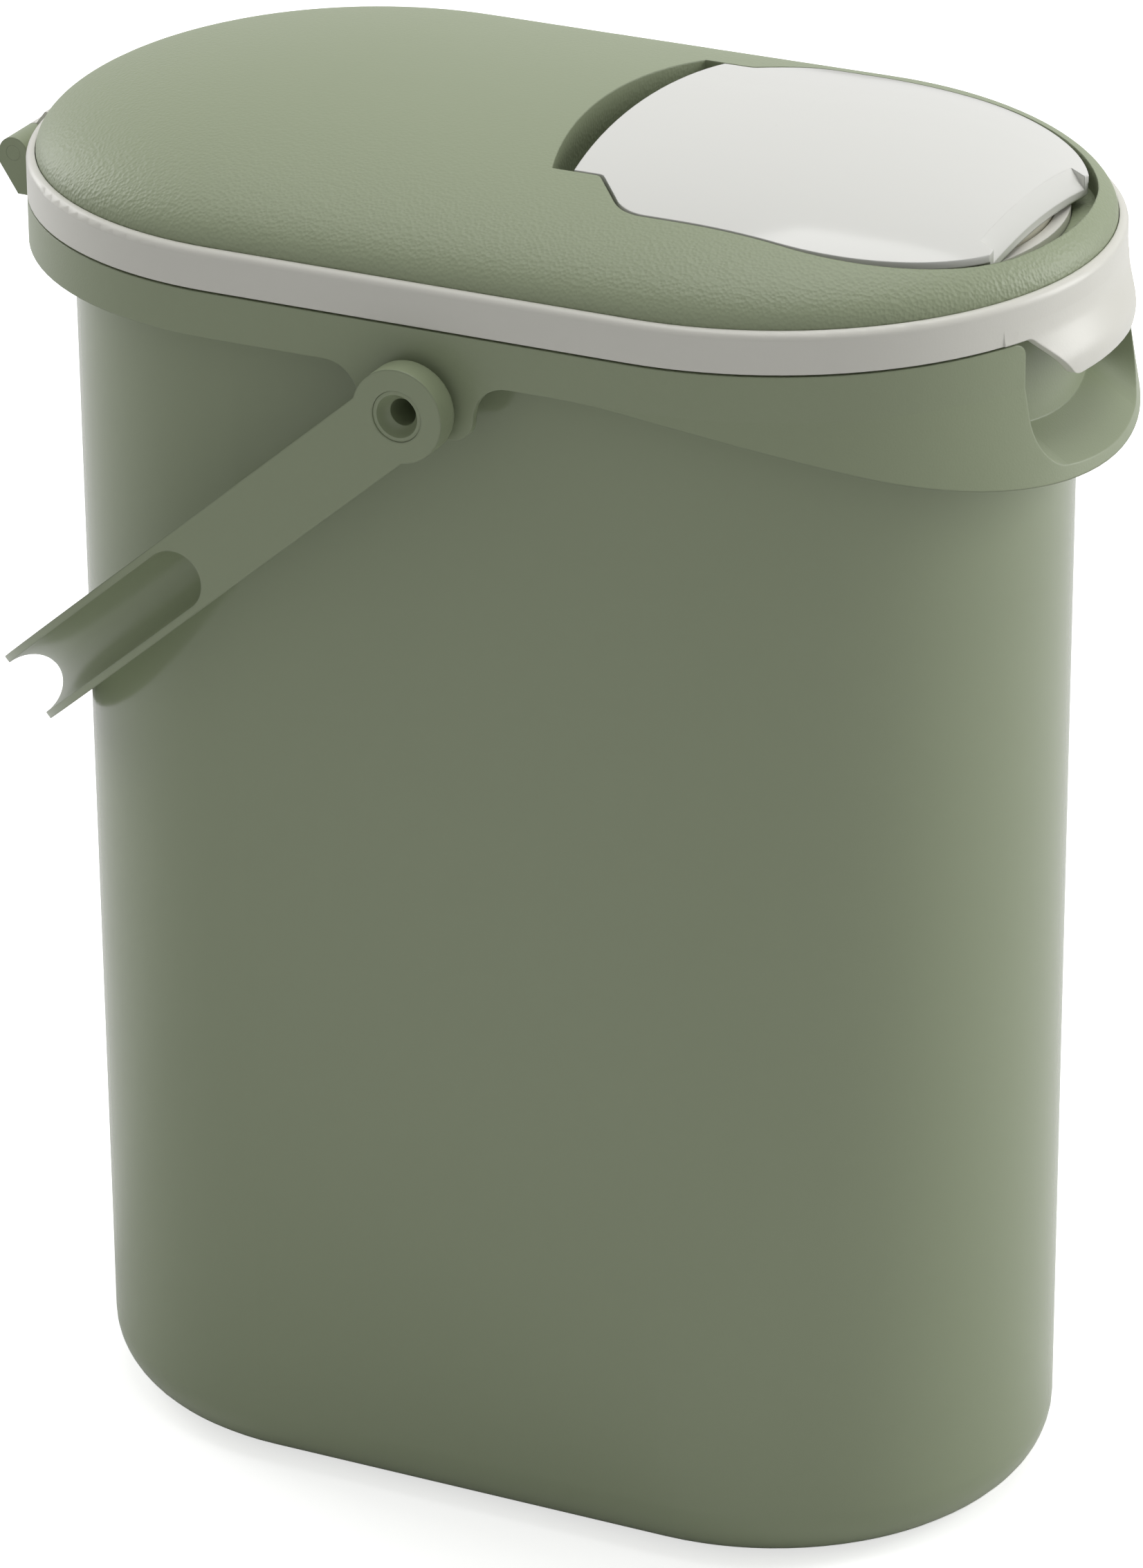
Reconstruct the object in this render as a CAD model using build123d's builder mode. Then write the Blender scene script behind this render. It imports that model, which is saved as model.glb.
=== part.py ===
"""Pet food storage container: a deep tub with a rim collar, a hinged lid with a pouring flap, and a bail handle.

Millimetres, +Z up. The origin is the centre of the base. The long axis is X and the pouring end faces +X.
"""

import os
from math import asin, atan2, cos, degrees, radians, sin, sqrt, tan

from build123d import *

os.makedirs("parts", exist_ok=True)

# Plan of the whole container: a straight middle between two half-round ends
straight = 115.0
end_x = straight / 2

# Tub
body_half_width = 75.7
body_draft = 1.6
body_wall = 2.4
base_fillet = 16.0
flange_reach = 6.3
flange_thickness = 2.4

# Rim collar
rim_reach = 11.5
collar_top = 336.4
collar_plate = 2.8
skirt_z = 324.5
skirt_wall = 2.2
flare_angle = 9.0
dip_start_x = 35.0
dip_radius = 220.0
dip_line_x = 111.5
mouth_wall = 2.5
mouth_drop = 12.0
mouth_clearance = 0.3
body_gap = 0.4
snap_reach = 3.5
snap_thickness = 2.2
snap_width = 24.0
snap_x = 38.0

# Finger recess in the front of the collar
recess_half_width = 32.3
recess_floor_z = 301.0
recess_corner = 11.0
recess_slope = 0.66
recess_back_wall = 2.0
recess_side_wall = 2.2
recess_top_corner = 3.5
recess_shoulder_z = 318.0

# Bail handle and its pivots
pivot_z = 317.0
ear_half_width = 15.7
ear_drop = 8.2
ear_flare = 9.5
ear_corner = 6.0
ear_pad_radius = 8.0
ear_pad = 2.3
handle_reach = 190.5
handle_side_gap = 0.6
handle_tilt = 40.7
handle_width = 20.0
handle_depth = 11.7
handle_wall = 2.0
arm_thickness = 6.6
arm_swell_start = 55.0
scoop_run = 9.1
boss_radius = 12.2
boss_thickness = 7.3
pin_radius = 6.6
pin_fit = 0.08
pin_hole_radius = 3.5
pin_funnel_radius = 5.6
pin_funnel_depth = 3.4
pin_spigot_radius = 4.7
pin_recess = 0.3
pin_tail = 2.0

# Lid
lid_gap = 0.6
band_top = 347.6
band_wall = 2.3
band_round = 2.0
tray_floor_z = 338.5
tray_floor = 2.5
plug_clearance = 0.6
plug_wall = 2.4
plug_depth = 11.5
gasket_height = 3.6
gasket_groove = 1.4
gasket_lip = 0.35
gasket_drop = 4.4
tab_half_width = 17.3
tab_root_half_width = 31.0
tab_z = 323.7
tab_flare = 3.2
tab_corner = 6.0
tab_root_corner = 3.0

# Green cover over the lid
crown_height = 22.2
cover_fit = 0.2
cover_wall = 2.4
pocket_floor_z = 349.5
pocket_wall = 2.0

# Pouring flap and the opening it covers
flap_rear_x = 19.3
flap_rear_radius = 304.0
flap_ear_y = 43.7
flap_ear_x = 30.4
flap_shoulder_x = 42.8
flap_side_y = 58.2
flap_nose_radius = 77.3
flap_gap = 0.7
nose_gap = 2.3
trough_rear_x = 9.5
trough_rear_radius = 141.0
ear_round = 2.5
shoulder_round = 12.0
nose_round = 50.0
flap_wall = 2.2
lip_x = 124.3
lip_length = 3.7
lip_slope = 1.4
lip_half_width = 28.5
flap_axis_x = 25.5
flap_axis_z = 361.4
stub_radius = 1.8
stub_fit = 0.1
stub_length = 5.6
cheek_radius = 3.7
cheek_thickness = 3.0
pour_circle_x = 69.7
pour_radius = 58.2
pour_half_width = 51.0
pour_rear_x = 46.0
pour_corner = 8.0
spout_wall = 3.2
spout_nose = 2.6
spout_top = 352.0
seal_gap = 0.5
seal_wall = 1.6
seal_bottom = 349.0
seal_height = 5.0
rib_wall = 1.6

# Lid hinge at the rear
hinge_x = -150.5
hinge_z = 337.0
hinge_radius = 4.2
hinge_pin_radius = 2.0
hinge_fit = 0.08
hinge_half_length = 20.0
hinge_middle = 8.0
hinge_side_gap = 0.4

# Heights and places that follow from the sizes above
body_top = collar_top - collar_plate
flange_z = body_top - flange_thickness
base_half_width = body_half_width - body_draft
flange_half_width = body_half_width + flange_reach
rim_half_width = body_half_width + rim_reach
mouth_half_width = body_half_width - body_wall - mouth_clearance - mouth_wall
pocket_half = recess_half_width + recess_side_wall
lid_bottom = collar_top + lid_gap
plug_half_width = mouth_half_width - plug_clearance
band_inner = rim_half_width - band_wall
cover_half_width = band_inner - cover_fit
cover_bottom = tray_floor_z + tray_floor
crown_z = band_top + crown_height
handle_half_width = rim_half_width + ear_pad + handle_side_gap + boss_thickness
handle_bend_x = handle_reach - handle_half_width
scoop_start = handle_bend_x - scoop_run
dip_angle = degrees(asin((dip_line_x - dip_start_x) / dip_radius))
dip_line_z = skirt_z - dip_radius * (1 - cos(radians(dip_angle)))
front_reach = end_x + rim_half_width + 12.0
dip_end_z = dip_line_z - (front_reach - dip_line_x) * tan(radians(dip_angle))
collar_bottom = dip_line_z - (end_x + rim_half_width - dip_line_x) * tan(radians(dip_angle)) - 4.0


def dome(half_width, height, low_z):
    """Solid under an elliptic crown, straight along the middle and turned at both ends, with a skirt to low_z."""
    with BuildPart() as crown:
        with BuildSketch(Plane.YZ.offset(-end_x)):
            with Locations((0, band_top)):
                Ellipse(half_width, height)
            with Locations((0, band_top)):
                Rectangle(2 * half_width, height, align=(Align.CENTER, Align.MAX), mode=Mode.SUBTRACT)
        extrude(amount=straight)
        for side in (-1, 1):
            with BuildSketch(Plane.XZ):
                with Locations((side * end_x, band_top)):
                    Ellipse(half_width, height)
                    Rectangle(2 * half_width, height, align=(Align.CENTER, Align.MAX), mode=Mode.SUBTRACT)
                    Rectangle(
                        half_width, height, align=(Align.MIN if side < 0 else Align.MAX, Align.MIN), mode=Mode.SUBTRACT
                    )
            revolve(axis=Axis((side * end_x, 0, 0), (0, 0, 1)), revolution_arc=360)
        with BuildSketch(Plane.XY.offset(low_z)):
            SlotCenterToCenter(straight, 2 * half_width)
        extrude(amount=band_top - low_z)
    return crown.part


def flap_plan(rear_x, rear_radius, grow, nose_radius):
    """Plan of the flap or of its pocket: bowed rear edge, hinge ears, straight sides and a rounded nose."""
    ear_y = flap_ear_y + grow
    side_y = flap_side_y + grow
    corner_y = side_y - nose_round
    corner_x = end_x + sqrt((nose_radius - nose_round) ** 2 - corner_y**2)
    turn = 90 - degrees(atan2(corner_y, corner_x - end_x))
    with BuildSketch() as plan:
        with BuildLine():
            rear = JernArc((rear_x, 0), (0, 1), rear_radius, -degrees(asin(ear_y / rear_radius)))
            FilletPolyline(
                rear @ 1,
                (flap_ear_x - grow, ear_y),
                (flap_shoulder_x - grow, side_y),
                (corner_x, side_y),
                radius=[ear_round, shoulder_round],
            )
            nose = JernArc((corner_x, side_y), (1, 0), nose_round, -turn)
            JernArc(nose @ 1, nose % 1, nose_radius, turn - 90)
            mirror(about=Plane.XZ)
        make_face()
    return plan.sketch


def pour_plan(grow, nose=0.0):
    """Plan of the pouring opening: a circle cut flat along both sides and behind, grown outwards."""
    rear = pour_rear_x - grow
    half = pour_half_width + grow
    front = pour_circle_x + pour_radius + grow
    with BuildSketch() as plan:
        with Locations((pour_circle_x - nose, 0)):
            Circle(front - pour_circle_x + nose)
        with Locations((rear, 0)):
            Rectangle(front - rear, 2 * half, align=(Align.MIN, Align.CENTER), mode=Mode.INTERSECT)
        fillet(plan.vertices().group_by(Axis.X)[0], pour_corner + grow)
    return plan.sketch


def collar_form(half_width, low_z, high_z):
    """Outer or inner form of the collar: straight above the skirt line and flared below it."""
    with BuildPart() as form:
        with BuildSketch(Plane.XY.offset(skirt_z)):
            SlotCenterToCenter(straight, 2 * half_width)
        extrude(amount=high_z - skirt_z)
        with BuildSketch(Plane((0, 0, skirt_z), x_dir=(1, 0, 0), z_dir=(0, 0, -1))):
            SlotCenterToCenter(straight, 2 * half_width)
        extrude(amount=skirt_z - low_z, taper=-flare_angle)
    return form.part


# Tub: thin walls with a slight draft, a flat base with rounded edges and a flange that the collar snaps over
with BuildPart() as container_body:
    with BuildSketch():
        SlotCenterToCenter(straight, 2 * base_half_width)
    extrude(amount=body_top, taper=-degrees(atan2(body_draft, body_top)))
    fillet(container_body.edges().group_by(Axis.Z)[0], base_fillet)
    offset(amount=-body_wall, openings=container_body.faces().sort_by(Axis.Z)[-1])
    # the flange stops short of the collar's finger recess
    with BuildSketch(Plane.XY.offset(flange_z)):
        SlotCenterToCenter(straight, 2 * flange_half_width)
        with Locations((end_x, 0)):
            Rectangle(
                flange_half_width + 1,
                2 * (pocket_half + body_gap),
                align=(Align.MIN, Align.CENTER),
                mode=Mode.SUBTRACT,
            )
        SlotCenterToCenter(straight, 2 * (body_half_width - body_wall / 2), mode=Mode.SUBTRACT)
    extrude(amount=flange_thickness)

# Space inside the collar: the flared skirt's inside, less the block that holds the finger recess
with BuildPart() as collar_cavity:
    add(collar_form(rim_half_width - skirt_wall, collar_bottom, body_top))
    with BuildSketch(Plane.XY.offset(collar_bottom)):
        with Locations((end_x, 0)):
            Rectangle(front_reach, 2 * pocket_half, align=(Align.MIN, Align.CENTER))
    extrude(amount=body_top - collar_bottom, mode=Mode.SUBTRACT)
    with BuildSketch(Plane.XY.offset(collar_bottom)):
        SlotCenterToCenter(straight, 2 * (body_half_width + body_gap))
    extrude(amount=body_top - collar_bottom)

# Finger recess: an upright slot above, and a sloping scoop below that rises towards the tub
recess_back = body_half_width + body_gap + recess_back_wall
with BuildPart() as finger_recess:
    with BuildSketch(Plane.YZ.offset(front_reach)) as scoop:
        with Locations((0, recess_floor_z - recess_slope * (front_reach - end_x - rim_half_width - 2.0))):
            Rectangle(2 * recess_half_width, 30, align=(Align.CENTER, Align.MIN))
        fillet(scoop.vertices().group_by(Axis.Y)[0], recess_corner)
    extrude(amount=front_reach - end_x, dir=(-1, 0, recess_slope))
    with BuildSketch(Plane.YZ.offset(end_x)):
        with BuildLine():
            side = Line((recess_half_width, recess_shoulder_z), (recess_half_width, collar_top - recess_top_corner))
            corner = JernArc(side @ 1, (0, 1), recess_top_corner, -90)
            lip = Line(corner @ 1, corner @ 1 + (0, 6))
            Line(lip @ 1, (0, collar_top + 6))
            Line(side @ 0, (0, recess_shoulder_z))
            mirror(about=Plane.YZ)
        make_face()
    extrude(amount=front_reach - end_x)
    with BuildSketch(Plane.XY.offset(collar_bottom)):
        SlotCenterToCenter(straight, 2 * recess_back)
    extrude(amount=100, mode=Mode.SUBTRACT)

# Rim collar, the ring that snaps over the tub's flange and carries the hinge, the bail and the finger recess
with BuildPart() as rim_collar:
    add(collar_form(rim_half_width, collar_bottom, collar_top))
    add(collar_cavity.part, mode=Mode.SUBTRACT)
    with BuildSketch(Plane.XZ):
        with BuildLine():
            flat = Line((-front_reach, skirt_z), (dip_start_x, skirt_z))
            dip = JernArc(flat @ 1, (1, 0), dip_radius, -dip_angle)
            slope = Line(dip @ 1, (front_reach, dip_end_z))
            Polyline(slope @ 1, (front_reach, collar_bottom - 9), (-front_reach, collar_bottom - 9), flat @ 0)
        make_face()
    extrude(amount=rim_half_width + 9, both=True, mode=Mode.SUBTRACT)
    with BuildSketch(Plane.XY.offset(body_top - mouth_drop)):
        SlotCenterToCenter(straight, 2 * (body_half_width - body_wall - mouth_clearance))
    extrude(amount=mouth_drop)
    with BuildSketch(Plane.XY.offset(body_top - mouth_drop)):
        SlotCenterToCenter(straight, 2 * mouth_half_width)
    extrude(amount=mouth_drop + collar_plate, mode=Mode.SUBTRACT)
    add(finger_recess.part, mode=Mode.SUBTRACT)
    # snap hooks under the tub's flange
    hook_reach = rim_half_width - skirt_wall / 2 - (flange_half_width - snap_reach)
    hook_middle = flange_half_width - snap_reach + hook_reach / 2
    with BuildSketch(Plane.XY.offset(flange_z)):
        with Locations(
            (snap_x, hook_middle), (-snap_x, hook_middle), (snap_x, -hook_middle), (-snap_x, -hook_middle)
        ):
            Rectangle(snap_width, hook_reach)
        with Locations((-end_x - hook_middle, 0)):
            Rectangle(hook_reach, snap_width)
    extrude(amount=-snap_thickness)
    ear_root = ear_half_width + ear_flare + 1
    # pivot ears, one on each long side, with a pad for the bail to turn against
    for side in (-1, 1):
        with BuildSketch(Plane.XZ.offset(side * (rim_half_width - skirt_wall / 2))):
            with BuildLine():
                FilletPolyline(
                    (-ear_root, skirt_z + 1),
                    (-ear_root, skirt_z),
                    (-ear_half_width, skirt_z),
                    (-ear_half_width, pivot_z - ear_drop),
                    (ear_half_width, pivot_z - ear_drop),
                    (ear_half_width, skirt_z),
                    (ear_root, skirt_z),
                    (ear_root, skirt_z + 1),
                    radius=[0, ear_flare, ear_corner, ear_corner, ear_flare, 0],
                )
                Line((-ear_root, skirt_z + 1), (ear_root, skirt_z + 1))
            make_face()
        extrude(amount=skirt_wall / 2, both=True)
        with BuildSketch(Plane.XZ.offset(side * (rim_half_width - 2 * skirt_wall))):
            with Locations((0, pivot_z)):
                Circle(ear_pad_radius)
        extrude(amount=side * (2 * skirt_wall + ear_pad))
        with BuildSketch(Plane.XZ.offset(side * (rim_half_width - 3 * skirt_wall))):
            with Locations((0, pivot_z)):
                Circle(pin_spigot_radius)
        extrude(amount=side * (3 * skirt_wall + ear_pad + 1), mode=Mode.SUBTRACT)
    # rear hinge knuckles
    for side in (-1, 1):
        with BuildSketch(Plane.XZ.offset(side * (hinge_middle + hinge_half_length) / 2)):
            with BuildLine():
                Polyline(
                    (hinge_x - hinge_radius, hinge_z),
                    (hinge_x - hinge_radius, hinge_z - 3),
                    (hinge_x + 1, skirt_z + 1.5),
                    (-end_x - rim_half_width + 1.0, skirt_z + 1.5),
                    (-end_x - rim_half_width + 1.0, collar_top - 1.0),
                    (hinge_x, collar_top - 1.0),
                    (hinge_x, hinge_z),
                    close=True,
                )
            make_face()
            with Locations((hinge_x, hinge_z)):
                Circle(hinge_radius)
        extrude(amount=(hinge_half_length - hinge_middle) / 2, both=True)
    with BuildSketch(Plane.XZ.offset(-hinge_half_length - 1)):
        with Locations((hinge_x, hinge_z)):
            Circle(hinge_pin_radius)
    extrude(amount=2 * hinge_half_length + 2, mode=Mode.SUBTRACT)

# Pull tab of the lid, an S-curved apron that hangs in front of the finger recess
with BuildPart() as pull_tab:
    with BuildSketch(Plane.XZ):
        with BuildLine():
            outer = Spline(
                (end_x + rim_half_width, lid_bottom + 4),
                (end_x + rim_half_width + tab_flare, tab_z + 4),
                (end_x + rim_half_width + tab_flare - 0.8, tab_z - 1),
                tangents=[(0, -1), (-0.3, -1)],
            )
            Line(outer @ 1, outer @ 1 - (band_wall, 0))
            inner = Spline(
                (end_x + band_inner, lid_bottom + 4),
                (end_x + band_inner + tab_flare, tab_z + 4),
                (end_x + band_inner + tab_flare - 0.8, tab_z - 1),
                tangents=[(0, -1), (-0.3, -1)],
            )
            Line(inner @ 0, outer @ 0)
        make_face()
    revolve(axis=Axis((end_x, 0, 0), (0, 0, 1)))
    with BuildSketch(Plane.YZ.offset(end_x)):
        with BuildLine():
            FilletPolyline(
                (tab_root_half_width + 8, lid_bottom + 4),
                (tab_root_half_width + 8, lid_bottom),
                (tab_root_half_width, lid_bottom),
                (tab_half_width, tab_z),
                (-tab_half_width, tab_z),
                (-tab_root_half_width, lid_bottom),
                (-tab_root_half_width - 8, lid_bottom),
                (-tab_root_half_width - 8, lid_bottom + 4),
                radius=[0, tab_root_corner, tab_corner, tab_corner, tab_root_corner, 0],
            )
            Line((-tab_root_half_width - 8, lid_bottom + 4), (tab_root_half_width + 8, lid_bottom + 4))
        make_face()
    extrude(amount=front_reach, mode=Mode.INTERSECT)

# White lid base: outer band with the pull tab, a tray floor, the plug that enters the mouth and the pouring spout
with BuildPart() as lid_base:
    with BuildSketch(Plane.XY.offset(lid_bottom)):
        SlotCenterToCenter(straight, 2 * rim_half_width)
    extrude(amount=band_top - lid_bottom)
    fillet(lid_base.edges().group_by(Axis.Z)[-1], band_round)
    with BuildSketch(Plane.XY.offset(cover_bottom)):
        SlotCenterToCenter(straight, 2 * band_inner)
    extrude(amount=band_top - cover_bottom, mode=Mode.SUBTRACT)
    with BuildSketch(Plane.XY.offset(lid_bottom)):
        SlotCenterToCenter(straight, 2 * band_inner)
    extrude(amount=tray_floor_z - lid_bottom, mode=Mode.SUBTRACT)
    with BuildSketch(Plane.XY.offset(tray_floor_z)):
        SlotCenterToCenter(straight, 2 * plug_half_width)
        SlotCenterToCenter(straight, 2 * (plug_half_width - plug_wall), mode=Mode.SUBTRACT)
    extrude(amount=-plug_depth)
    with BuildSketch(Plane.XY.offset(tray_floor_z - gasket_drop)):
        SlotCenterToCenter(straight, 2 * plug_half_width)
        SlotCenterToCenter(straight, 2 * (plug_half_width - gasket_groove), mode=Mode.SUBTRACT)
    extrude(amount=-gasket_height, mode=Mode.SUBTRACT)
    add(pull_tab.part)
    with BuildSketch(Plane.XY.offset(tray_floor_z)):
        add(pour_plan(spout_wall, spout_nose))
    extrude(amount=spout_top - tray_floor_z)
    with BuildSketch(Plane.XY.offset(tray_floor_z)):
        add(pour_plan(0))
    extrude(amount=spout_top - tray_floor_z, mode=Mode.SUBTRACT)
    with BuildSketch(Plane.XZ):
        with BuildLine():
            Polyline(
                (hinge_x, hinge_z + hinge_radius),
                (hinge_x + 2.6, band_top - 3),
                (-end_x - rim_half_width + 1.2, band_top - 3),
                (-end_x - rim_half_width + 1.2, lid_bottom + 1),
                (hinge_x, lid_bottom + 1),
                close=True,
            )
        make_face()
        with Locations((hinge_x, hinge_z)):
            Circle(hinge_radius)
            Circle(hinge_pin_radius + hinge_fit, mode=Mode.SUBTRACT)
    extrude(amount=hinge_middle - hinge_side_gap, both=True)

# Soft ring in the plug's groove, with a lip that wipes the mouth
with BuildPart() as lid_gasket:
    with BuildSketch(Plane.XY.offset(tray_floor_z - gasket_drop - gasket_height)):
        SlotCenterToCenter(straight, 2 * plug_half_width)
        SlotCenterToCenter(straight, 2 * (plug_half_width - gasket_groove), mode=Mode.SUBTRACT)
    extrude(amount=gasket_height)
    with BuildSketch(Plane.XY.offset(tray_floor_z - gasket_drop - 0.7 * gasket_height)):
        SlotCenterToCenter(straight, 2 * (plug_half_width + gasket_lip))
        SlotCenterToCenter(straight, 2 * (plug_half_width - gasket_groove), mode=Mode.SUBTRACT)
    extrude(amount=0.4 * gasket_height)

# Green cover: a crowned shell with the flap's pocket let into it
pocket_nose = flap_nose_radius + nose_gap
with BuildPart() as cover_hollow:
    add(dome(cover_half_width - cover_wall, crown_height - cover_wall, cover_bottom))
    with BuildSketch(Plane.XY.offset(pocket_floor_z - pocket_wall)):
        add(flap_plan(trough_rear_x, trough_rear_radius, flap_gap, pocket_nose))
        offset(amount=pocket_wall)
    extrude(amount=crown_height, mode=Mode.SUBTRACT)

with BuildPart() as lid_cover:
    add(dome(cover_half_width, crown_height, cover_bottom))
    add(cover_hollow.part, mode=Mode.SUBTRACT)
    with BuildSketch(Plane.XY.offset(pocket_floor_z)):
        add(flap_plan(trough_rear_x, trough_rear_radius, flap_gap, pocket_nose))
    extrude(amount=crown_height, mode=Mode.SUBTRACT)
    with BuildSketch(Plane.XY.offset(cover_bottom)):
        add(pour_plan(spout_wall + cover_fit, spout_nose))
    extrude(amount=crown_height, mode=Mode.SUBTRACT)
    for side in (-1, 1):
        with BuildSketch(Plane.XZ.offset(side * (flap_ear_y + flap_gap))):
            with Locations((flap_axis_x, flap_axis_z)):
                Circle(cheek_radius)
        extrude(amount=side * (stub_length + 1))
        with BuildSketch(Plane.XZ.offset(side * flap_ear_y)):
            with Locations((flap_axis_x, flap_axis_z)):
                Circle(stub_radius + stub_fit)
        extrude(amount=side * (stub_length + 0.5), mode=Mode.SUBTRACT)



def flap_form(inset):
    """Everything under the flap's face, or under that face moved inwards, with the lip's slope cut off the nose."""
    face_z = band_top + crown_height * sqrt(1 - ((lip_x - end_x) / cover_half_width) ** 2)
    side_r2 = (lip_x - end_x) ** 2 + lip_half_width**2
    side_z = band_top + crown_height * sqrt(1 - side_r2 / cover_half_width**2)
    half = lip_half_width + inset
    with BuildPart() as form:
        add(dome(cover_half_width - inset, crown_height - inset, cover_bottom))
        with BuildSketch(Plane.YZ.offset(lip_x)):
            with BuildLine():
                crease = ThreePointArc((-half, side_z - inset), (0, face_z - inset), (half, side_z - inset))
                Polyline(crease @ 1, (half, crown_z + 20), (-half, crown_z + 20), crease @ 0)
            make_face()
        extrude(amount=4 * lip_length, dir=(1, 0, -lip_slope), mode=Mode.SUBTRACT)
    return form.part


# Rib under the flap that holds its seal
with BuildPart() as seal_rib:
    with BuildSketch(Plane.XY.offset(seal_bottom + 0.8)):
        add(pour_plan(-seal_gap - seal_wall))
        add(pour_plan(-seal_gap - seal_wall - rib_wall), mode=Mode.SUBTRACT)
    extrude(amount=2 * crown_height)
    add(flap_form(flap_wall / 2), mode=Mode.INTERSECT)

# Pouring flap: a crowned plate flush with the cover, a bent-down lip and hinge stubs in the cover's cheeks
with BuildPart() as pour_flap:
    add(flap_form(0))
    add(flap_form(flap_wall), mode=Mode.SUBTRACT)
    with BuildSketch(Plane.XY.offset(spout_top)):
        add(flap_plan(flap_rear_x, flap_rear_radius, 0, flap_nose_radius))
        with Locations((lip_x + lip_length, 0)):
            Rectangle(30, 2 * rim_half_width, align=(Align.MIN, Align.CENTER), mode=Mode.SUBTRACT)
    extrude(amount=2 * crown_height, mode=Mode.INTERSECT)
    add(seal_rib.part)
    for side in (-1, 1):
        with BuildSketch(Plane.XZ.offset(side * (flap_ear_y - cheek_thickness))):
            with Locations((flap_axis_x, flap_axis_z)):
                Circle(cheek_radius)
        extrude(amount=side * cheek_thickness)
        with BuildSketch(Plane.XZ.offset(side * (flap_ear_y - cheek_thickness))):
            with Locations((flap_axis_x, flap_axis_z)):
                Circle(stub_radius)
        extrude(amount=side * (cheek_thickness + stub_length))

# Soft ring round the rib, which plugs the spout
with BuildPart() as flap_seal:
    with BuildSketch(Plane.XY.offset(seal_bottom)):
        add(pour_plan(-seal_gap))
        add(pour_plan(-seal_gap - seal_wall), mode=Mode.SUBTRACT)
    extrude(amount=seal_height)

# Frame of the bail as it hangs: local x runs out along the arms, local y across, local z through its width
tilt = radians(handle_tilt)
bail = Plane((0, 0, pivot_z), x_dir=(-cos(tilt), 0, -sin(tilt)), z_dir=(-sin(tilt), 0, cos(tilt)))


def bail_section(along):
    """Plane across the bail's arms at a distance from the pivot."""
    return Plane(bail.from_local_coords((along, 0, 0)), x_dir=bail.y_dir, z_dir=bail.x_dir)


def half_oval(along, depth, half_width, sides):
    """Half ovals across the bail, flat on the outside, on one side or both."""
    with BuildSketch(bail_section(along)) as section:
        for side in sides:
            with Locations((side * handle_half_width, 0)):
                Ellipse(depth, half_width)
                Rectangle(
                    depth,
                    2 * half_width,
                    align=(Align.MIN if side > 0 else Align.MAX, Align.CENTER),
                    mode=Mode.SUBTRACT,
                )
    return section.sketch


# Hollow of the grip: a half-oval channel round the bend, with a rounded scoop at each end
groove_depth = handle_depth - handle_wall
groove_half_width = handle_width / 2 - handle_wall
bend_axis = Axis(bail.from_local_coords((handle_bend_x, 0, 0)), -bail.z_dir)
with BuildPart() as grip_groove:
    add(half_oval(handle_bend_x, groove_depth, groove_half_width, (1,)))
    revolve(axis=bend_axis, revolution_arc=180)
    add(half_oval(handle_bend_x, groove_depth, groove_half_width, (-1, 1)))
    extrude(amount=handle_bend_x - scoop_start, dir=-bail.x_dir)
    for side in (-1, 1):
        with BuildSketch(bail_section(scoop_start)):
            with Locations((side * handle_half_width, 0)):
                Ellipse(groove_depth, groove_half_width)
                Rectangle(
                    groove_depth,
                    2 * groove_half_width,
                    align=(Align.MIN if side > 0 else Align.MAX, Align.CENTER),
                    mode=Mode.SUBTRACT,
                )
                Rectangle(
                    2 * groove_depth, groove_half_width, align=(Align.CENTER, Align.MAX), mode=Mode.SUBTRACT
                )
        revolve(axis=Axis(bail.from_local_coords((scoop_start, 0, 0)), bail.y_dir))

# Bail handle: flat arms with round bosses at the pivots, swelling into a grip that bends round the container
with BuildPart() as carry_handle:
    add(half_oval(handle_bend_x, handle_depth, handle_width / 2, (1,)))
    revolve(axis=bend_axis, revolution_arc=180)
    add(half_oval(handle_bend_x, handle_depth, handle_width / 2, (-1, 1)))
    extrude(amount=handle_bend_x, dir=-bail.x_dir)
    for side in (-1, 1):
        with BuildSketch(bail):
            with BuildLine():
                Polyline(
                    (-handle_width, side * (handle_half_width - arm_thickness)),
                    (arm_swell_start, side * (handle_half_width - arm_thickness)),
                    (handle_bend_x, side * (handle_half_width - handle_depth)),
                    (handle_bend_x, side * (handle_half_width - 2 * handle_depth)),
                    (-handle_width, side * (handle_half_width - 2 * handle_depth)),
                    close=True,
                )
            make_face()
        extrude(amount=handle_width, both=True, mode=Mode.SUBTRACT)
    add(grip_groove.part, mode=Mode.SUBTRACT)
    for side in (-1, 1):
        with BuildSketch(Plane.XZ.offset(side * (handle_half_width - boss_thickness))):
            with Locations((0, pivot_z)):
                Circle(boss_radius)
        extrude(amount=side * boss_thickness)
        with BuildSketch(Plane.XZ.offset(side * (handle_half_width - boss_thickness))):
            with Locations((0, pivot_z)):
                Circle(pin_radius + pin_fit)
        extrude(amount=side * boss_thickness, mode=Mode.SUBTRACT)


def pivot_pin(side):
    """Hollow pin pressed into a collar ear, with a funnel mouth in its face."""
    pad_face = rim_half_width + ear_pad
    face = handle_half_width - pin_recess
    tail = rim_half_width - 2 * skirt_wall - pin_tail
    with BuildPart() as pin:
        with BuildSketch(Plane.XY.offset(pivot_z)):
            with BuildLine():
                funnel = RadiusArc(
                    (pin_hole_radius, face - pin_funnel_depth),
                    (pin_funnel_radius, face),
                    -2 * pin_funnel_depth,
                )
                Polyline(
                    funnel @ 1,
                    (pin_radius, face),
                    (pin_radius, pad_face),
                    (pin_spigot_radius, pad_face),
                    (pin_spigot_radius, tail),
                    (pin_hole_radius, tail),
                    funnel @ 0,
                )
            make_face()
        revolve(axis=Axis((0, 0, pivot_z), (0, 1, 0)))
    return pin.part if side > 0 else pin.part.mirror(Plane.XZ)


pivot_pins = {"handle_pin_left": pivot_pin(1), "handle_pin_right": pivot_pin(-1)}

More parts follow.
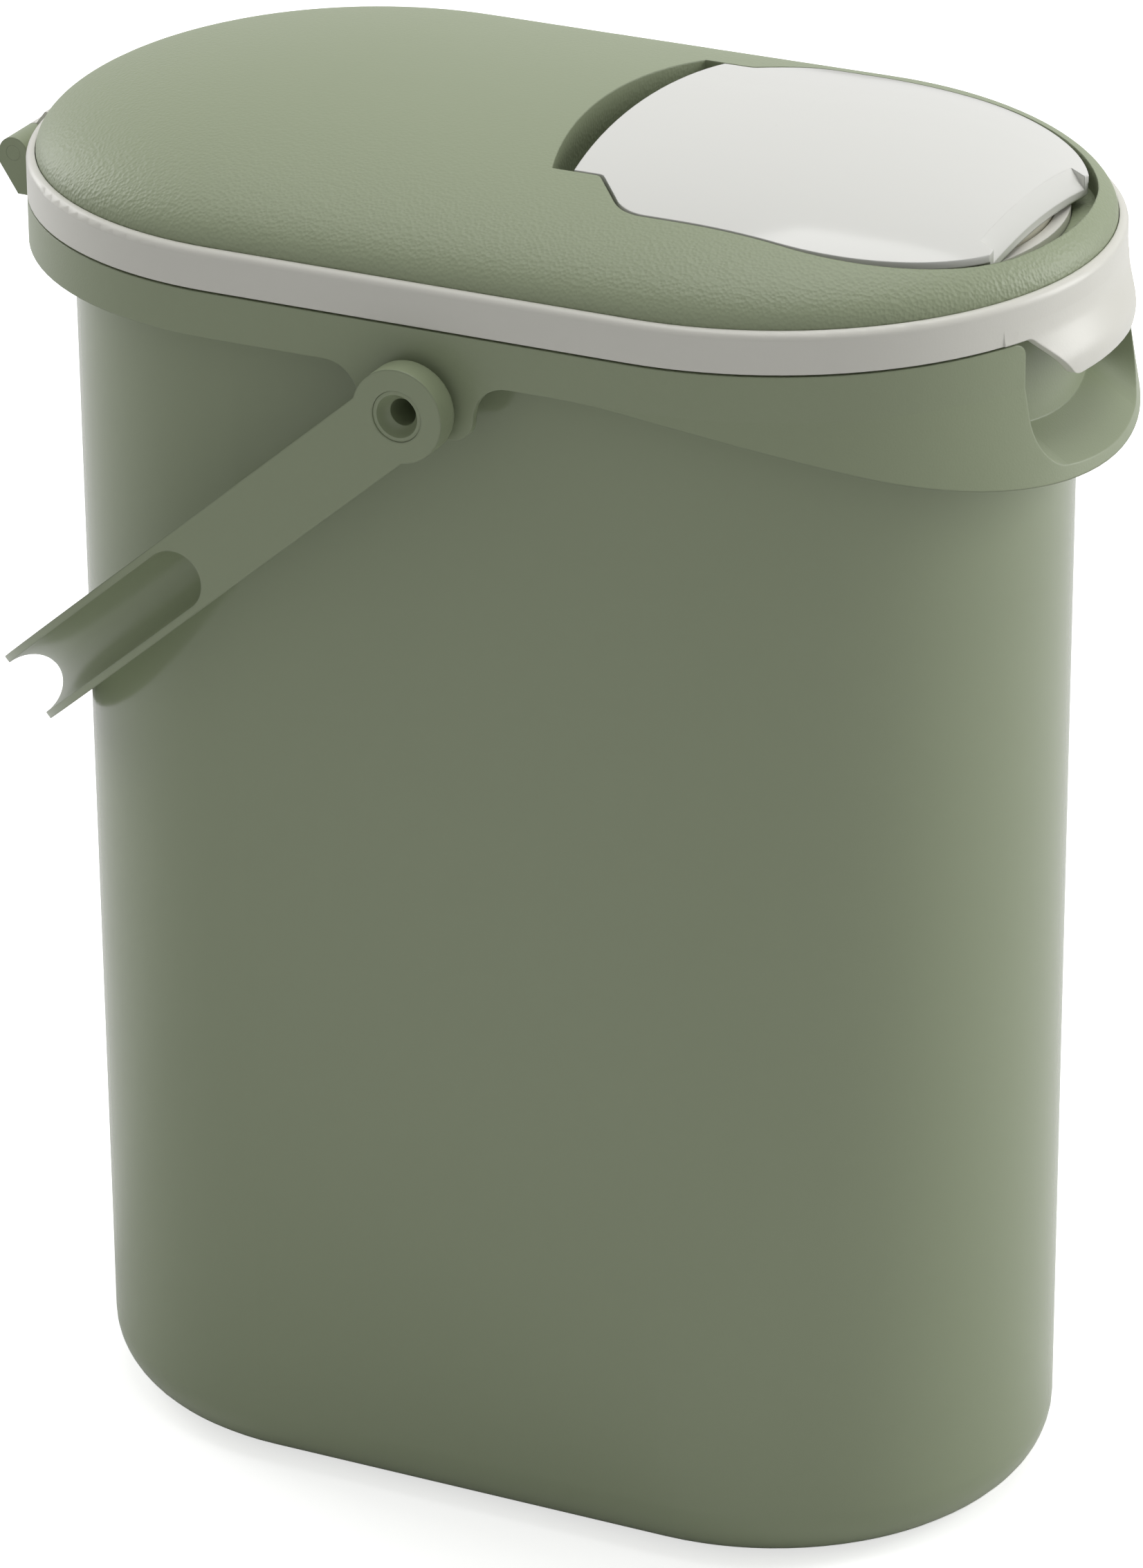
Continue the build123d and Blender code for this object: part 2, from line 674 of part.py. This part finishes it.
# Straight rod through the rear knuckles
with BuildPart() as lid_hinge_pin:
    with BuildSketch(Plane.XZ.offset(-hinge_half_length)):
        with Locations((hinge_x, hinge_z)):
            Circle(hinge_pin_radius)
    extrude(amount=2 * hinge_half_length)

pieces = {
    "container_body": container_body.part,
    "rim_collar": rim_collar.part,
    "lid_base": lid_base.part,
    "lid_gasket": lid_gasket.part,
    "lid_cover": lid_cover.part,
    "pour_flap": pour_flap.part,
    "flap_seal": flap_seal.part,
    "carry_handle": carry_handle.part,
    "lid_hinge_pin": lid_hinge_pin.part,
    **pivot_pins,
}
for name, piece in pieces.items():
    piece.label = name
    export_step(piece, f"parts/{name}.step")
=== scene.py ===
import math

import bpy
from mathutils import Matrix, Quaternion, Vector


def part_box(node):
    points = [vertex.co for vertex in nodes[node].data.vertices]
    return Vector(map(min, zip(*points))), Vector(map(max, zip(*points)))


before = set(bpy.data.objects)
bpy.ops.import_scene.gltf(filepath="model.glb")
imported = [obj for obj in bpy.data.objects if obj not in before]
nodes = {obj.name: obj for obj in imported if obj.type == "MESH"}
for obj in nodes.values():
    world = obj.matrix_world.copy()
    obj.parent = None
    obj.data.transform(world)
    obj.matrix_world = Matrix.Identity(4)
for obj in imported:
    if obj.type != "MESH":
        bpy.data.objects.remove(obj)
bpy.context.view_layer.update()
scene = bpy.context.scene

# Camera: a long lens, above and to the right of the container's near long side, as a shop photographer
# stands. Its place comes from a fit to the edges in the photograph.
view_azimuth = math.radians(26.22)
view_elevation = math.radians(24.36)
view_roll = math.radians(-0.43)
view_target = Vector((-0.0011, 0, 0.1787))
view_distance = 2.0785
back = Vector((
    math.sin(view_azimuth) * math.cos(view_elevation),
    -math.cos(view_azimuth) * math.cos(view_elevation),
    math.sin(view_elevation),
))
camera = bpy.data.objects.new("camera", bpy.data.cameras.new("camera"))
camera.data.lens = 182.9
camera.data.clip_end = 20
camera.location = view_target + view_distance * back
camera.rotation_mode = "QUATERNION"
camera.rotation_quaternion = back.to_track_quat("Z", "Y") @ Quaternion((0, 0, 1), view_roll)
scene.collection.objects.link(camera)
scene.camera = camera
scene.view_settings.view_transform = "Standard"

# Studio: a white sweep lit by a soft box overhead and a tall one behind each end. The near long side gets
# only what the white room gives back, so it reads about half as bright as the lid.
floor_size = 14
paper_white = 0.86
floor_glow = 0.66
room_light = 0.40
backdrop_light = 1.0

bpy.ops.mesh.primitive_plane_add(size=floor_size)
floor = bpy.context.object
floor.name = "floor"
floor_white = bpy.data.materials.new("floor_white")
floor.data.materials.append(floor_white)
floor_white.use_nodes = True
tree = floor_white.node_tree
tree.nodes.clear()
output = tree.nodes.new("ShaderNodeOutputMaterial")
paper = tree.nodes.new("ShaderNodeBsdfDiffuse")
paper.inputs["Color"].default_value = (paper_white, paper_white, paper_white, 1)
glow = tree.nodes.new("ShaderNodeEmission")
path = tree.nodes.new("ShaderNodeLightPath")
seen = tree.nodes.new("ShaderNodeMath")
seen.operation = "MULTIPLY"
seen.inputs[1].default_value = floor_glow
both = tree.nodes.new("ShaderNodeAddShader")
tree.links.new(path.outputs["Is Camera Ray"], seen.inputs[0])
tree.links.new(seen.outputs[0], glow.inputs["Strength"])
tree.links.new(paper.outputs[0], both.inputs[0])
tree.links.new(glow.outputs[0], both.inputs[1])
tree.links.new(both.outputs[0], output.inputs["Surface"])

# The camera and sharp reflections see a white backdrop, and everything else gets a dimmer room.
world = bpy.data.worlds.new("studio")
scene.world = world
world.use_nodes = True
tree = world.node_tree
tree.nodes.clear()
output = tree.nodes.new("ShaderNodeOutputWorld")
room = tree.nodes.new("ShaderNodeBackground")
room.inputs["Strength"].default_value = room_light
backdrop = tree.nodes.new("ShaderNodeBackground")
backdrop.inputs["Strength"].default_value = backdrop_light
path = tree.nodes.new("ShaderNodeLightPath")
seen = tree.nodes.new("ShaderNodeMath")
seen.operation = "MAXIMUM"
sharp = tree.nodes.new("ShaderNodeMath")
sharp.operation = "MAXIMUM"
choice = tree.nodes.new("ShaderNodeMixShader")
tree.links.new(path.outputs["Is Glossy Ray"], sharp.inputs[0])
tree.links.new(path.outputs["Is Transmission Ray"], sharp.inputs[1])
tree.links.new(path.outputs["Is Camera Ray"], seen.inputs[0])
tree.links.new(sharp.outputs[0], seen.inputs[1])
tree.links.new(seen.outputs[0], choice.inputs[0])
tree.links.new(room.outputs[0], choice.inputs[1])
tree.links.new(backdrop.outputs[0], choice.inputs[2])
tree.links.new(choice.outputs[0], output.inputs["Surface"])


def soft_box(name, place, aim, size, power):
    """Rectangular light at a place, turned towards the point it is aimed at. Power is in watts."""
    lamp = bpy.data.lights.new(name, "AREA")
    lamp.shape = "RECTANGLE"
    lamp.size, lamp.size_y = size
    lamp.energy = power
    lamp_object = bpy.data.objects.new(name, lamp)
    lamp_object.location = place
    lamp_object.rotation_mode = "QUATERNION"
    lamp_object.rotation_quaternion = (Vector(place) - Vector(aim)).to_track_quat("Z", "Y")
    scene.collection.objects.link(lamp_object)


soft_box("overhead_box", place=(0.1, 0.35, 2.3), aim=(0, 0, 0.35), size=(1.8, 1.8), power=22)
soft_box("end_box", place=(1.75, 1.35, 0.9), aim=(0.1, 0, 0.2), size=(0.8, 1.7), power=24)
soft_box("rear_box", place=(-1.8, 0.5, 0.9), aim=(-0.1, 0, 0.25), size=(0.8, 1.5), power=12)

# Tub: injection-moulded polypropylene, polished in the tool, so it is smooth and glossy with a faint
# unevenness in colour. It stands on its flat base.
SAGE = (0.295, 0.340, 0.216)


def make_moulded_skin():
    """Faint mottling that moulded plastic has, for colour and for roughness."""
    group = bpy.data.node_groups.new("moulded_skin", "ShaderNodeTree")
    for name, kind, value in (
        ("Colour", "NodeSocketColor", (0.5, 0.5, 0.5, 1)),
        ("Roughness", "NodeSocketFloat", 0.4),
        ("Mottle", "NodeSocketFloat", 0.03),
        ("Scale", "NodeSocketFloat", 9.0),
    ):
        socket = group.interface.new_socket(name, in_out="INPUT", socket_type=kind)
        socket.default_value = value
    group.interface.new_socket("Colour", in_out="OUTPUT", socket_type="NodeSocketColor")
    group.interface.new_socket("Roughness", in_out="OUTPUT", socket_type="NodeSocketFloat")
    entry = group.nodes.new("NodeGroupInput")
    leave = group.nodes.new("NodeGroupOutput")
    place = group.nodes.new("ShaderNodeTexCoord")
    cloud = group.nodes.new("ShaderNodeTexNoise")
    cloud.inputs["Detail"].default_value = 3
    centred = group.nodes.new("ShaderNodeMath")
    centred.operation = "SUBTRACT"
    centred.inputs[1].default_value = 0.5
    swing = group.nodes.new("ShaderNodeMath")
    swing.operation = "MULTIPLY"
    level = group.nodes.new("ShaderNodeMath")
    level.operation = "MULTIPLY_ADD"
    level.inputs[1].default_value = 2.0
    level.inputs[2].default_value = 1.0
    shade = group.nodes.new("ShaderNodeVectorMath")
    shade.operation = "SCALE"
    rough = group.nodes.new("ShaderNodeMath")
    rough.operation = "MULTIPLY"
    link = group.links.new
    link(place.outputs["Object"], cloud.inputs["Vector"])
    link(entry.outputs["Scale"], cloud.inputs["Scale"])
    link(cloud.outputs["Fac"], centred.inputs[0])
    link(centred.outputs[0], swing.inputs[0])
    link(entry.outputs["Mottle"], swing.inputs[1])
    link(swing.outputs[0], level.inputs[0])
    link(entry.outputs["Colour"], shade.inputs[0])
    link(level.outputs[0], shade.inputs["Scale"])
    link(entry.outputs["Roughness"], rough.inputs[0])
    link(level.outputs[0], rough.inputs[1])
    link(shade.outputs[0], leave.inputs["Colour"])
    link(rough.outputs[0], leave.inputs["Roughness"])
    return group


moulded_skin = make_moulded_skin()


def moulded_plastic(name, colour, roughness, mottle=0.03, edge=0.0004):
    """Plastic from a mould, with edges rounded by a radius in metres.

    Returns the material, its node tree and the node that rounds the edges.
    """
    material = bpy.data.materials.new(name)
    material.use_nodes = True
    tree = material.node_tree
    shader = tree.nodes["Principled BSDF"]
    shader.inputs["IOR"].default_value = 1.49
    skin = tree.nodes.new("ShaderNodeGroup")
    skin.node_tree = moulded_skin
    skin.inputs["Colour"].default_value = (*colour, 1)
    skin.inputs["Roughness"].default_value = roughness
    skin.inputs["Mottle"].default_value = mottle
    tree.links.new(skin.outputs["Colour"], shader.inputs["Base Color"])
    tree.links.new(skin.outputs["Roughness"], shader.inputs["Roughness"])
    rounding = tree.nodes.new("ShaderNodeBevel")
    rounding.samples = 6
    rounding.inputs["Radius"].default_value = edge
    tree.links.new(rounding.outputs[0], shader.inputs["Normal"])
    return material, tree, rounding


def dress(node, material):
    """Gives a CAD node its material, object by object, and leaves its mesh alone."""
    for place in nodes[node].material_slots:
        place.link = "OBJECT"
        place.material = material


tub_green, _, _ = moulded_plastic("tub_green", SAGE, 0.16, mottle=0.02, edge=0.0006)
dress("container_body", tub_green)

# Rim collar: polypropylene with a fine spark-eroded texture outside, pressed down over the tub's flange. Its
# ears carry the bail's pins.


def make_fine_grain():
    """Even, pebbled tool texture. Size is a cell's width in metres, and Pebble blends noise into cells."""
    group = bpy.data.node_groups.new("fine_grain", "ShaderNodeTree")
    for name, value in (("Size", 0.0004), ("Pebble", 0.5)):
        socket = group.interface.new_socket(name, in_out="INPUT", socket_type="NodeSocketFloat")
        socket.default_value = value
    group.interface.new_socket("Height", in_out="OUTPUT", socket_type="NodeSocketFloat")
    entry = group.nodes.new("NodeGroupInput")
    leave = group.nodes.new("NodeGroupOutput")
    place = group.nodes.new("ShaderNodeTexCoord")
    per_metre = group.nodes.new("ShaderNodeMath")
    per_metre.operation = "DIVIDE"
    per_metre.inputs[0].default_value = 1.0
    cells = group.nodes.new("ShaderNodeTexVoronoi")
    cells.feature = "SMOOTH_F1"
    cells.inputs["Smoothness"].default_value = 0.35
    dust = group.nodes.new("ShaderNodeTexNoise")
    dust.inputs["Detail"].default_value = 2
    blend = group.nodes.new("ShaderNodeMix")
    link = group.links.new
    link(entry.outputs["Size"], per_metre.inputs[1])
    link(place.outputs["Object"], cells.inputs["Vector"])
    link(place.outputs["Object"], dust.inputs["Vector"])
    link(per_metre.outputs[0], cells.inputs["Scale"])
    link(per_metre.outputs[0], dust.inputs["Scale"])
    link(entry.outputs["Pebble"], blend.inputs["Factor"])
    link(dust.outputs["Fac"], blend.inputs["A"])
    link(cells.outputs["Distance"], blend.inputs["B"])
    link(blend.outputs["Result"], leave.inputs["Height"])
    return group


fine_grain = make_fine_grain()


def grained(tree, rounding, size, depth, pebble):
    """Puts a tool texture of a given cell size and depth, in metres, on a plastic. Returns its bump node."""
    grain = tree.nodes.new("ShaderNodeGroup")
    grain.node_tree = fine_grain
    grain.inputs["Size"].default_value = size
    grain.inputs["Pebble"].default_value = pebble
    bump = tree.nodes.new("ShaderNodeBump")
    bump.inputs["Strength"].default_value = 1.0
    bump.inputs["Distance"].default_value = depth
    tree.links.new(grain.outputs["Height"], bump.inputs["Height"])
    tree.links.new(rounding.outputs[0], bump.inputs["Normal"])
    tree.links.new(bump.outputs[0], tree.nodes["Principled BSDF"].inputs["Normal"])
    return bump


collar_green, tree, rounding = moulded_plastic("collar_green", SAGE, 0.36, edge=0.0006)
grained(tree, rounding, 0.0006, 0.00004, 0.3)
dress("rim_collar", collar_green)

# Bail and its pins: satin polypropylene. The pins are pressed into the collar's ears and the bail turns on
# them. The rod of the rear hinge has the same plastic.
handle_green, tree, rounding = moulded_plastic("handle_green", SAGE, 0.33, edge=0.0008)
grained(tree, rounding, 0.0009, 0.00003, 0.1)
dress("carry_handle", handle_green)
pin_green, _, _ = moulded_plastic("pin_green", SAGE, 0.30, edge=0.0003)
for pin in ("handle_pin_left", "handle_pin_right", "lid_hinge_pin"):
    dress(pin, pin_green)

# Lid base: warm off-white polypropylene with a satin outside. Its band and pull tab show below the green
# cover.
WARM_WHITE = (0.74, 0.73, 0.665)
lid_white, tree, rounding = moulded_plastic("lid_white", WARM_WHITE, 0.34, mottle=0.012, edge=0.0005)
grained(tree, rounding, 0.0007, 0.00002, 0.2)
dress("lid_base", lid_white)

# Lid cover: green polypropylene with a leather grain etched into the tool. The grain is deepest on the
# shoulder and nearly gone on the crown.
shoulder_drop = 0.009
crown_grain = 0.12
cover_green, tree, rounding = moulded_plastic("cover_green", SAGE, 0.44, edge=0.0006)
leather = grained(tree, rounding, 0.0010, 0.00018, 0.9)
place = tree.nodes.new("ShaderNodeTexCoord")
split = tree.nodes.new("ShaderNodeSeparateXYZ")
shoulder = tree.nodes.new("ShaderNodeMapRange")
crown_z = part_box("lid_cover")[1].z
shoulder.inputs["From Min"].default_value = crown_z
shoulder.inputs["From Max"].default_value = crown_z - shoulder_drop
shoulder.inputs["To Min"].default_value = crown_grain
shoulder.inputs["To Max"].default_value = 1.0
depth = tree.nodes.new("ShaderNodeMath")
depth.operation = "MULTIPLY"
tree.links.new(place.outputs["Object"], split.inputs[0])
tree.links.new(split.outputs["Z"], shoulder.inputs["Value"])
tree.links.new(shoulder.outputs[0], depth.inputs[0])
grain_height = leather.inputs["Height"].links[0].from_socket
tree.links.new(grain_height, depth.inputs[1])
tree.links.new(depth.outputs[0], leather.inputs["Height"])
dress("lid_cover", cover_green)

# Pouring flap: glossy off-white polypropylene, snapped into the cover by two stubs behind its ears.
CLEAN_WHITE = (0.78, 0.78, 0.74)
flap_white, _, _ = moulded_plastic("flap_white", CLEAN_WHITE, 0.12, mottle=0.008, edge=0.0005)
dress("pour_flap", flap_white)

# Seals: cream silicone, one ring round the lid's plug and one under the flap.
CREAM = (0.66, 0.64, 0.52)
soft_seal, _, _ = moulded_plastic("soft_seal", CREAM, 0.5, mottle=0.02, edge=0.0003)
dress("lid_gasket", soft_seal)
dress("flap_seal", soft_seal)
